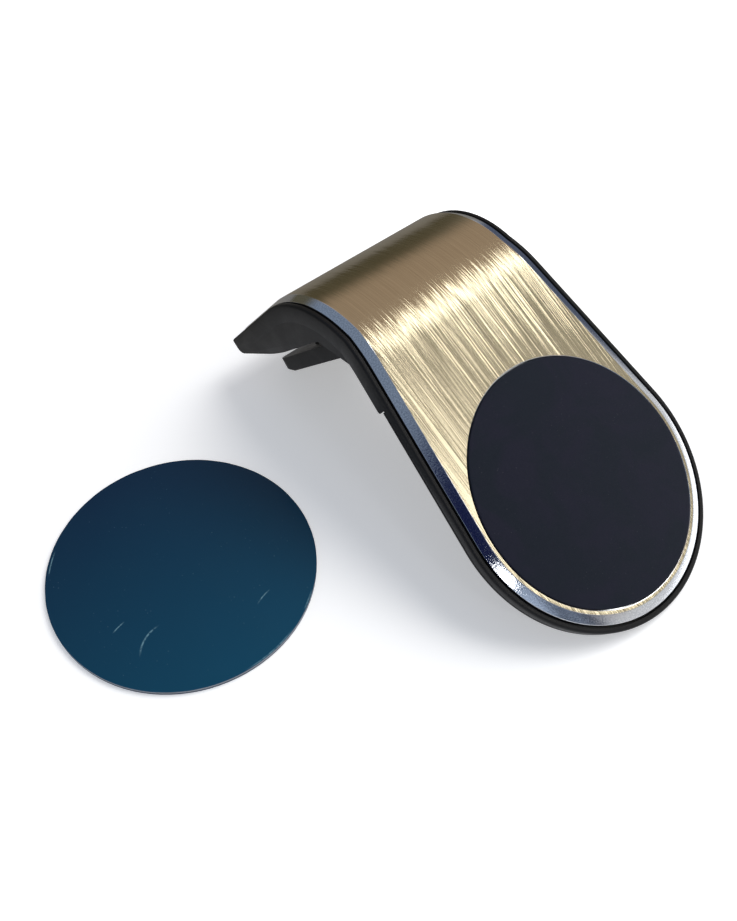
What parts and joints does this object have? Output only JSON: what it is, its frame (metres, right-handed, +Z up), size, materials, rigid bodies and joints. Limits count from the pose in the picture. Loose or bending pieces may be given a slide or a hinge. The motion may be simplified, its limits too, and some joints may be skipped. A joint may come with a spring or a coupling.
{
  "type": "magnetic car phone mount",
  "caption": "Magnetic car phone mount: an L-shaped body with a round magnet head and gilt face plate, a sprung air-vent clip, and a loose steel disc for the phone.",
  "frame": {"origin": "bottom centre of the box around the mount and its loose disc, on the surface they stand on", "axes": "+X across the mount, away from the loose disc; +Y from the magnet head toward the vent clip; +Z up"},
  "size_m": [0.0918, 0.0806, 0.0294],
  "materials": {
    "gold_aluminium": "gold anodised, brushed along the leg, with a polished silver bevel",
    "black_plastic": "matte black ABS",
    "pad": "matte blue-black leather-grained rubber",
    "bonding_film": "translucent double-sided adhesive",
    "nickel": "nickel plated",
    "steel": "cold rolled, light grain",
    "screw_steel": "black zinc plated",
    "silicone": "matte black silicone",
    "liner_paper": "blue-grey coated release paper",
    "blue_film": "glossy deep blue protective film"
  },
  "bodies": {
    "mount": {"face_plate": "gold_aluminium", "plate_film": "bonding_film", "magnet_pad": "pad", "pad_glue": "bonding_film", "body_shell": "black_plastic", "rear_cover": "black_plastic", "magnet_1": "nickel", "magnet_2": "nickel", "magnet_3": "nickel", "magnet_4": "nickel", "magnet_5": "nickel", "magnet_6": "nickel", "yoke_plate": "steel", "cover_screw_1": "screw_steel", "cover_screw_2": "screw_steel", "cover_screw_3": "screw_steel", "upper_grip_pad": "silicone", "jaw_pin": "steel"},
    "jaw": {"clip_jaw": "black_plastic", "lower_grip_pad": "silicone", "jaw_spring": "steel"},
    "phone_disc": {"release_liner": "liner_paper", "phone_plate_glue": "bonding_film", "phone_plate": "steel", "protective_film": "blue_film"}
  },
  "joints": [
    {"name": "jaw_pivot", "type": "hinge", "parent": "mount", "child": "jaw", "pos_m": [0.02318, 0.01736, 0.02051], "axis": [-1, 0, 0], "range_deg": [0, 10], "stiffness_Nm_per_rad": 0.25, "springref_deg": -20.05},
    {"name": "disc_lift", "type": "slide", "parent": "mount", "child": "phone_disc", "axis": [0, 0, 1], "range_m": [0, 0.06]}
  ]
}
